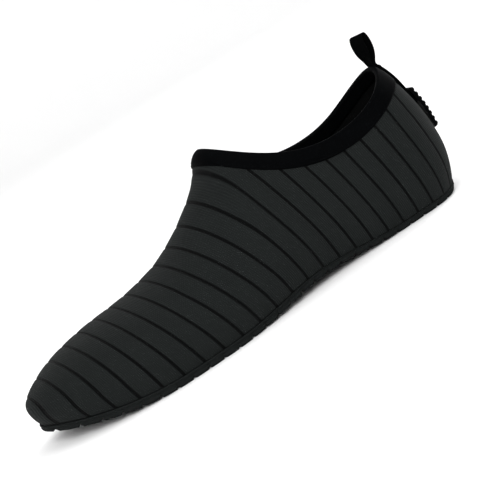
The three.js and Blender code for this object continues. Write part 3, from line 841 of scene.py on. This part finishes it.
def sole_edge(rows, side):
    """The sole's side as columns of points: round the lower corner, up the wall, over the
    rim's bead and down to the seat."""
    foot = on_upper(rows, 0.0, side)
    x = foot[:, 0]
    way = level_way(outward(foot))
    groove = groove_share(x)
    upright = np.array([0.0, 0.0, 1.0])

    def from_foot(out, up):
        return foot + way * np.reshape(out, (-1, 1)) + upright * np.reshape(up, (-1, 1))

    rim_foot = along_rim(x, RIM_FOOT_HEEL, RIM_FOOT)
    rim_top = along_rim(x, RIM_TOP_HEEL, RIM_TOP)
    wall = CLEARANCE + rim_foot
    floor = groove * LUG_DEPTH - SEAT
    drawn_in = between_lugs(x)
    scallop = np.minimum(LUG_SCALLOP, rim_foot) * drawn_in
    widest = wall - scallop
    inset = wall - along_rim(x, RIM_UNDERCUT_HEEL, RIM_UNDERCUT) - LUG_GROOVE_INSET * groove
    columns = []
    for turn in np.linspace(0.0, 1.0, 6):
        angle = turn * math.pi / 2.0
        out = lerp(inset, widest, math.sin(angle))
        up = lerp(-CLEARANCE - (SOLE_THICKNESS - LUG_DEPTH) / 2.0, floor, math.cos(angle))
        up = up + LUG_RISE * drawn_in * math.sin(angle) * math.cos(angle) ** 0.5
        columns.append(from_foot(out, up))
    height = along_rim(x, RIM_HEIGHT_HEEL, RIM_HEIGHT_TOE)
    tall = ridge_z(x) - foot_z(x)
    bead_share, bead_level, bead_width = 0.19, 0.9, 0.12
    for level in (0.02, 0.15, 0.32, 0.5, 0.68, 0.84, 1.0):
        at = on_upper(rows, level * height / tall, side)
        thick = lerp(rim_foot - scallop * (1.0 - level), rim_top, level ** 0.7)
        bead = bead_share * rim_top * np.exp(-((level - bead_level) / bead_width) ** 2)
        columns.append(at + outward(at) * (CLEARANCE + thick + bead)[:, None])
    top = on_upper(rows, height / tall, side)
    top_way = outward(top)
    up_way = unit(upright - top_way * top_way[:, 2:])
    for turn in (0.25, 0.5, 0.75):
        angle = turn * math.pi
        out = CLEARANCE + rim_top / 2.0 * (1.0 + math.cos(angle))
        rise = rim_top / 2.0 * math.sin(angle)
        columns.append(top + top_way * out[:, None] + up_way * rise[:, None])
    seat_share = 0.6  # the sole's inner face lies closer than the full clearance
    for level in (1.0, 0.6, 0.25):
        at = on_upper(rows, level * height / tall, side)
        columns.append(at + outward(at) * CLEARANCE * seat_share)
    columns.append(from_foot(CLEARANCE * seat_share, -CLEARANCE))
    return np.stack(columns, axis=1)


def make_outsole():
    rows = sole_stations()
    left, right = sole_edge(rows, 1), sole_edge(rows, -1)
    across = np.linspace(0.0, 1.0, 25)[None, :, None]
    sheets = Sheets()
    sheets.add(left)
    sheets.add(right)
    sheets.add(lerp(left[:, :1], right[:, :1], across))
    sheets.add(lerp(left[:, -1:], right[:, -1:], across[:, ::4]))
    rubber = rubber_material(
        "sole_rubber", colour(0.0046, 0.0053, 0.0052), colour(0.0084, 0.0095, 0.0093), 0.68, 0.03
    )
    dress(sheets.make("ribbed_outsole", sharp=42), (rubber,), "outsole")


# Insole

def make_insole():
    """A thin foam sheet with a fabric face, cupped a little round its edge."""
    turns = tip_shares(24)
    middle = np.linspace(HEEL_ROUND, LENGTH - TOE_ROUND, 60)
    rows = np.concatenate([turns * HEEL_ROUND, middle[1:-1], (LENGTH - turns * TOE_ROUND)[::-1]])
    edges = []
    for side in (1, -1):
        foot = on_upper(rows, 0.0, side)
        normal = outward(foot)
        under = foot - normal * UPPER_WALL - level_way(normal) * CLEARANCE
        under[:, 2] = foot_z(under[:, 0])
        edges.append(under)
    left, right = edges
    half = np.linalg.norm(left - right, axis=1)[:, None] / 2.0
    share = np.sin(np.linspace(-math.pi / 2.0, math.pi / 2.0, 33))[None, :]
    surface = lerp(left[:, None, :], right[:, None, :], (share[..., None] + 1.0) / 2.0)
    from_edge = half * (1.0 - np.abs(share))
    cup_height, cup_reach, cup_from, cup_to = 1.1, 5.0, 150.0, 60.0
    cup = cup_height * np.exp(-from_edge / cup_reach) * fade(left[:, 0], cup_from, cup_to)[:, None]
    edge_drop, edge_width = 0.8, 0.9
    rounding = edge_drop * np.maximum(0.0, 1.0 - from_edge / edge_width) ** 2
    top = surface.copy()
    top[..., 2] += INSOLE_THICKNESS + cup - rounding
    sheets = Sheets()
    sheets.add(top)
    sheets.add(surface)
    for column_at in (0, -1):
        sheets.add(np.stack([top[:, column_at], surface[:, column_at]]))
    dress(sheets.make("foam_insole", sharp=50), (insole_material(),), "insole")


# Collar binding

def collar_line(count):
    """Evenly spaced places of the top edge, closed: heel back, outer side, throat, inner side."""
    heel = HEEL_ROUND * tip_shares(60)
    front = lerp(HEEL_ROUND, throat_station, np.sin(np.linspace(0.0, math.pi / 2.0, 160)))
    rows = np.concatenate([heel, front[1:]])
    end = row_end(rows)
    halves = [on_upper(rows, end, side) for side in (1, -1)]
    line = np.concatenate([halves[0], halves[1][::-1][1:]])
    run = lengths_along(line)
    return points_at(np.linspace(0.0, run[-1], count + 1)[:-1], run, line), run[-1] / count


def drape(start, sideways, total, count):
    """Places down the outside from a line of starts, in even steps, with their normals."""
    at = start
    places = [at]
    for _ in range(count):
        way = unit(np.cross(outward(at), sideways))
        at = settle(at + way * (total / count)[:, None])
        places.append(at)
    return np.stack(places, axis=1)


def make_binding():
    line, step = collar_line(260)
    sideways = unit(np.roll(line, -3, axis=0) - np.roll(line, 3, axis=0))
    near_back = fade(line[:, 0], BINDING_BACK_REACH * collar_back_x, collar_back_x)
    depth = BINDING_HEIGHT + BINDING_BACK_EXTRA * near_back
    run = np.arange(len(line)) * step
    depth = depth + 0.12 * np.sin(run / 23.0) + 0.08 * np.sin(run / 9.7 + 1.0)
    steps_down, inner_steps = 12, 6
    outer_base = drape(line, sideways, depth, steps_down)
    inner_base = drape(line, sideways, np.full(len(line), BINDING_INNER_HEIGHT), inner_steps)
    outer_way, inner_way = outward(outer_base), outward(inner_base)
    edge_way = outer_way[:, 0]
    up = -unit(np.cross(edge_way, sideways))
    over = BINDING_GAP + BINDING_LEAF
    sewn_at = 0.86  # share of its height at which it is sewn
    soft = 0.10 * np.sin(run / 11.0) + 0.06 * np.sin(run / 4.7 + 2.0)

    ring, around = [], []

    def point(base, way, out, distance):
        ring.append(base + way * np.reshape(out, (-1, 1)))
        around.append(np.full_like(run, distance))

    # The outer leaf: a thin turned edge, a sewn dip above it and a faint crown
    crown_height, dip_depth, dip_width, edge_drop = 0.10, 0.22, 0.05, 0.45
    for k in range(steps_down, 0, -1):
        down = k / steps_down
        crown = (crown_height + soft) * math.sin(math.pi * down)
        dip = -dip_depth * math.exp(-((down - sewn_at) / dip_width) ** 2)
        edge = -edge_drop if k == steps_down else 0.0
        point(outer_base[:, k], outer_way[:, k], over + crown + dip + edge, -down * BINDING_HEIGHT)
    # Over the top, from the outer side to the inner
    middle_out = -UPPER_WALL / 2.0
    wide = over + UPPER_WALL / 2.0
    over_top, squareness = 4.0, 0.7
    for turn in np.linspace(0.0, 1.0, 11):
        angle = turn * math.pi
        across = math.cos(angle)
        out = middle_out + wide * math.copysign(abs(across) ** squareness, across)
        rise = up * (BINDING_TOP_RISE * math.sin(angle) ** squareness)
        point(line + rise, edge_way, out, turn * over_top)
    inner_crown, inner_edge = 0.1, 0.3
    for k in range(1, inner_steps + 1):
        down = k / inner_steps
        edge = inner_edge if k == inner_steps else 0.0
        out = edge - UPPER_WALL - over - inner_crown * math.sin(math.pi * down)
        point(inner_base[:, k], inner_way[:, k], out, over_top + down * BINDING_INNER_HEIGHT)
    for k in (inner_steps, inner_steps // 2, 0):
        point(inner_base[:, k], inner_way[:, k], -UPPER_WALL - BINDING_GAP, over_top)
    for k in (0, steps_down // 2, steps_down):
        point(outer_base[:, k], outer_way[:, k], BINDING_GAP, 0.0)
    cloth = cloth_places(run[:, None], np.stack(around, axis=1))
    sheets = Sheets()
    sheets.add(np.stack(ring, axis=1), close_rows=True, close_columns=True, cloth=cloth)
    dress(sheets.make("collar_binding_elastic"), (binding_material(),), "collar_binding")

    # A row of stitches in the sewn dip
    seat_at = sewn_at * steps_down
    low, high = int(seat_at), int(seat_at) + 1
    base = lerp(outer_base[:, low], outer_base[:, high], seat_at - low)
    way = unit(lerp(outer_way[:, low], outer_way[:, high], seat_at - low))
    pick = np.arange(0, len(line), 3)
    centres = (base + way * (over - 0.10))[pick]
    along_way = unit(np.roll(base, -1, axis=0) - np.roll(base, 1, axis=0))[pick]
    sewing = threads("binding_stitches", centres, along_way, way[pick], 1.9, 0.17)
    dress(sewing, (thread_material(),))


# Heel tape, its loop and its tab

ACROSS = np.array([0.0, 1.0, 0.0])
collar_back = np.array([collar_back_x, float(ridge_y(collar_back_x)), HEEL_HEIGHT])
heel_line = drape(
    collar_back[None, :], ACROSS[None, :], np.array([HEEL_RUN]), int(HEEL_RUN / HEEL_STEP)
)[0]
heel_up = -unit(np.cross(outward(collar_back), ACROSS))


def on_heel(down, sideways, out):
    """Places on the back of the heel: down from the top edge, sideways, and out from it."""
    down, sideways, out = np.broadcast_arrays(*(np.asarray(v, float) for v in (down, sideways, out)))
    base = points_at(down, np.arange(len(heel_line)) * HEEL_STEP, heel_line)
    base = base + heel_up * np.maximum(0.0, -down)[..., None]
    beside = settle(base + ACROSS * sideways[..., None])
    straight = base + ACROSS * sideways[..., None]
    straight[..., 0] += beside[..., 0] - settle(base)[..., 0]
    at = np.where((down > 0)[..., None], beside, straight)
    return at + outward(beside) * out[..., None]


# The loop of the tape in the side view, as shares of its spread and rise
LOOP_LINE = (
    (0.28, 0.22), (0.52, 0.52), (0.50, 0.80), (0.20, 0.97),
    (-0.20, 0.97), (-0.46, 0.78), (-0.44, 0.50), (-0.30, 0.24),
)


def smooth_path(knots, per_span):
    """A centripetal Catmull-Rom curve through rows of knots."""
    first, last = 2.0 * knots[0] - knots[1], 2.0 * knots[-1] - knots[-2]
    knots = np.vstack([first, knots, last])
    gaps = np.linalg.norm(np.diff(knots[:, :3], axis=0), axis=1) ** 0.5
    when = np.concatenate([[0.0], np.cumsum(gaps)])
    parts = []
    for i in range(1, len(knots) - 2):
        t0, t1, t2, t3 = when[i - 1:i + 3]
        p0, p1, p2, p3 = knots[i - 1:i + 3]
        t = np.linspace(t1, t2, per_span, endpoint=False)[:, None]
        a1 = (t1 - t) / (t1 - t0) * p0 + (t - t0) / (t1 - t0) * p1
        a2 = (t2 - t) / (t2 - t1) * p1 + (t - t1) / (t2 - t1) * p2
        a3 = (t3 - t) / (t3 - t2) * p2 + (t - t2) / (t3 - t2) * p3
        b1 = (t2 - t) / (t2 - t0) * a1 + (t - t0) / (t2 - t0) * a2
        b2 = (t3 - t) / (t3 - t1) * a2 + (t - t1) / (t3 - t1) * a3
        parts.append((t2 - t) / (t2 - t1) * b1 + (t - t1) / (t2 - t1) * b2)
    return np.vstack(parts + [knots[-2:-1]])


def tape_offset(down):
    """Middle of the inner tape layer, out from the upper: over the binding, then on the knit."""
    over_binding = TAPE_BINDING_GAP + BINDING_LEAF + CLEARANCE
    binding_end = BINDING_HEIGHT + BINDING_BACK_EXTRA
    return TAPE_THICKNESS / 2.0 + lerp(
        over_binding, CLEARANCE, fade(down, binding_end - TAPE_EASE, TAPE_END - TAPE_EASE)
    )


def make_pull_loop():
    downs = TAPE_END * np.array(TAPE_ROWS)
    out = tape_offset(downs)
    layer = TAPE_THICKNESS + TAPE_LAYER_GAP
    inner = on_heel(downs, 0.0, out)
    sag = on_heel(downs, TAPE_WIDTH / 2.0, out)[:, 0] - inner[:, 0]
    up = np.column_stack([inner, sag])
    back = np.column_stack([on_heel(downs, 0.0, out + layer), sag])[::-1]
    root = (up[-1] + back[0]) / 2.0
    loop = [
        (root[0] + spread * LOOP_SPREAD, root[1], root[2] + rise * LOOP_RISE,
         sag[-1] * max(0.0, 1.0 - rise * 2.0))
        for spread, rise in LOOP_LINE
    ]
    path = smooth_path(np.vstack([up, loop, back]), 9)
    middle, hollow = path[:, :3], path[:, 3]
    ahead = unit(np.gradient(middle, axis=0))
    normal = unit(np.cross(ahead, ACROSS))
    run = lengths_along(middle)

    # The tape's section: flat with round edges, where a firm selvedge stands a little proud
    half, thin = TAPE_WIDTH / 2.0, TAPE_THICKNESS / 2.0
    flat = np.linspace(-1.0, 1.0, 11)
    selvedge = 1.0 + 0.28 * np.exp(-((np.abs(flat) - 0.9) / 0.08) ** 2)
    edge_turn = np.linspace(-math.pi / 2.0, math.pi / 2.0, 5)[1:-1]
    top = [(s * (half - thin), thin * wide) for s, wide in zip(flat, selvedge)]
    right = [(half - thin + thin * math.cos(a), -thin * math.sin(a)) for a in edge_turn]
    profile = top + right + [(-s, -t) for s, t in top] + [(-s, -t) for s, t in right]
    side = np.array([s for s, _ in profile])
    thick = np.array([t for _, t in profile])
    ring = middle[:, None] + ACROSS * side[:, None] + normal[:, None] * thick[:, None]
    ring[..., 0] += hollow[:, None] * (side / half) ** 2
    turn = LOOP_TWIST * fade(middle[:, 2], root[2] + 1.0, root[2] + LOOP_RISE * 0.6)
    cos, sin = np.cos(turn)[:, None], np.sin(turn)[:, None]
    x, y = ring[..., 0] - root[0], ring[..., 1] - root[1]
    ring[..., 0] = root[0] + x * cos - y * sin
    ring[..., 1] = root[1] + x * sin + y * cos
    cloth = cloth_places(run[:, None], side)
    sheets = Sheets()
    sheets.add(ring, close_columns=True, cloth=cloth)
    for end in (0, -1):
        cap = np.stack([ring[end], np.repeat(middle[end][None, :], len(side), axis=0)])
        sheets.add(cap, close_columns=True, cloth=np.stack([cloth[end], cloth[end]]))
    piece = sheets.make("heel_pull_loop", sharp=50)
    dress(piece, (webbing_material(),), "pull_loop")

    # The bar of close stitches that holds the loop at its root
    count, bar_half, bar_down, zigzag, proud = 16, 3.4, 3.2, 0.35, 0.03
    places = np.linspace(-bar_half, bar_half, count)
    turns = zigzag * np.where(np.arange(count) % 2 == 0, 1.0, -1.0)
    down = bar_down + turns
    outer_face = tape_offset(down) + layer + TAPE_THICKNESS / 2.0 + proud
    centres = on_heel(down, places, outer_face)
    ways = unit(np.stack([np.zeros(count), turns, np.ones(count)], axis=1))
    bar = threads("loop_bar_stitches", centres, ways, outward(settle(centres)), 2.3, 0.2)
    dress(bar, (bpy.data.materials["sewing_thread"],))


def make_heel_tab():
    """A small moulded tab with eight plain cross ribs inside a narrow level border."""
    pitch = TAB_LENGTH / TAB_RIBS
    rib_rows = np.array([0.02, 0.10, 0.17, 0.24, 0.34, 0.44, 0.54, 0.64, 0.72, 0.80, 0.90])
    down = (TAB_START + (np.arange(TAB_RIBS)[:, None] + rib_rows[None, :]) * pitch).ravel()
    down = np.concatenate([[TAB_START - 0.25], down, [TAB_START + TAB_LENGTH + 0.15]])
    phase = np.mod((down - TAB_START) / pitch, 1.0)
    rib_start, rib_end = (0.06, 0.26), (0.86, 0.62)
    high = fade(phase, *rib_start) * fade(phase, *rib_end)
    high[[0, -1]] = 0.0
    side = np.sin(np.linspace(-math.pi / 2.0, math.pi / 2.0, 23))
    from_side = (1.0 - np.abs(side)) * TAB_WIDTH / 2.0
    from_end = np.minimum(down - down[0], down[-1] - down)
    over_tape = CLEARANCE + 2.0 * TAPE_THICKNESS + 2.0 * CLEARANCE
    under = lerp(over_tape, TAB_END_GAP, fade(down, TAPE_END + CLEARANCE, TAB_START + TAB_LENGTH))
    border_start, border_end = 0.5, 1.3
    rib = high[:, None] * TAB_RIB * fade(from_side, border_start, border_end)[None, :]
    side_drop, side_width, end_drop, end_width = 0.55, 0.8, 0.5, 0.7
    round_side = side_drop * (1.0 - np.minimum(1.0, from_side / side_width)) ** 2
    round_end = end_drop * (1.0 - np.minimum(1.0, from_end / end_width)) ** 2
    over = under[:, None] + TAB_THICKNESS + rib - round_side[None, :] - round_end[:, None]
    # Its corners are rounded in the plane
    near_end = np.maximum(0.0, TAB_CORNER - from_end)
    narrow = (TAB_CORNER - np.sqrt(np.maximum(0.0, TAB_CORNER ** 2 - near_end ** 2)))[:, None]
    sideways = side[None, :] * (TAB_WIDTH / 2.0 - narrow)
    top = on_heel(down[:, None], sideways, over)
    bottom = on_heel(down[:, None], sideways, np.broadcast_to(under[:, None], over.shape))
    sheets = Sheets()
    sheets.add(top)
    sheets.add(bottom)
    for column_at in (0, -1):
        sheets.add(np.stack([top[:, column_at], bottom[:, column_at]]))
        sheets.add(np.stack([top[column_at], bottom[column_at]]))
    rubber = rubber_material(
        "tab_rubber", colour(0.0003, 0.0004, 0.0005), colour(0.0010, 0.0011, 0.0012), 0.50, 0.012
    )
    dress(sheets.make("ribbed_heel_tab", sharp=50), (rubber,), "heel_tab")


# Room, lights and camera

def make_room():
    """A pale floor that turns up into a low round wall, far from the shoe. In metres."""
    floor_radius, turn_radius, wall_height, around = 2.2, 0.8, 1.3, 96
    bend = np.linspace(0.0, math.pi / 2.0, 12)
    outer_radius = floor_radius + turn_radius
    radii = np.concatenate([[0.0, 0.3, 1.2], floor_radius + turn_radius * np.sin(bend), [outer_radius]])
    heights = np.concatenate([np.zeros(3), turn_radius * (1.0 - np.cos(bend)), [wall_height]])
    turns = np.arange(around) * 2.0 * math.pi / around
    x, y = np.outer(radii, np.cos(turns)), np.outer(radii, np.sin(turns))
    z = np.broadcast_to(heights[:, None], x.shape)
    sheets = Sheets()
    sheets.add(np.stack([x, y, z], axis=-1) / MM + (ORIGIN_X, 0.0, 0.0), close_columns=True)
    floor = sheets.make("pale_floor")
    floor.data.materials.append(Tree("pale_floor").finish(colour(0.88, 0.88, 0.88), 0.9, 0.05))


# Name, place and size in metres, and power in watts
LIGHTS = (
    ("key", (0.9, 1.9, 1.1), 1.2, 48.0),
    ("top", (-0.3, 0.2, 2.0), 1.6, 10.0),
    ("rear", (-1.6, -0.9, 1.2), 1.0, 16.0),
)


def make_lights():
    world = bpy.data.worlds.new("studio")
    world.use_nodes = True
    background = world.node_tree.nodes["Background"]
    background.inputs["Color"].default_value = (1.0, 1.0, 1.0, 1.0)
    background.inputs["Strength"].default_value = 0.80
    bpy.context.scene.world = world
    middle = Vector((cad_low + cad_high) / 2.0)
    for name, place, size, power in LIGHTS:
        data = bpy.data.lights.new(name, "AREA")
        data.shape = "DISK"
        data.size = size
        data.energy = power
        lamp = add_object(name, data)
        lamp.location = place
        lamp.rotation_mode = "QUATERNION"
        lamp.rotation_quaternion = (middle - Vector(place)).to_track_quat("-Z", "Y")
        lamp.visible_camera = False


VIEW_AZIMUTH = math.radians(162.0)
VIEW_ELEVATION = math.radians(9.0)
VIEW_ROLL = math.radians(30.0)
LENS = 125.0
VIEW_WIDTH = 249.0 * MM  # what the frame shows at the shoe
AIM = Vector((92.1, 1.3, 38.5)) * MM


def make_camera():
    data = bpy.data.cameras.new("camera")
    data.lens = LENS
    camera = add_object("camera", data)
    back = Vector((
        math.sin(VIEW_AZIMUTH) * math.cos(VIEW_ELEVATION),
        -math.cos(VIEW_AZIMUTH) * math.cos(VIEW_ELEVATION),
        math.sin(VIEW_ELEVATION),
    ))
    distance = VIEW_WIDTH * LENS / data.sensor_width
    turn = (-back).to_track_quat("-Z", "Y").to_matrix().to_4x4()
    place = Matrix.Translation(AIM + back * distance)
    camera.matrix_world = place @ turn @ Matrix.Rotation(-VIEW_ROLL, 4, "Z")
    data.clip_start, data.clip_end = 0.01, 20.0
    bpy.context.scene.camera = camera


make_upper()
make_outsole()
make_insole()
make_binding()
make_pull_loop()
make_heel_tab()
make_room()
make_lights()
make_camera()
bpy.context.scene.view_settings.view_transform = "Standard"
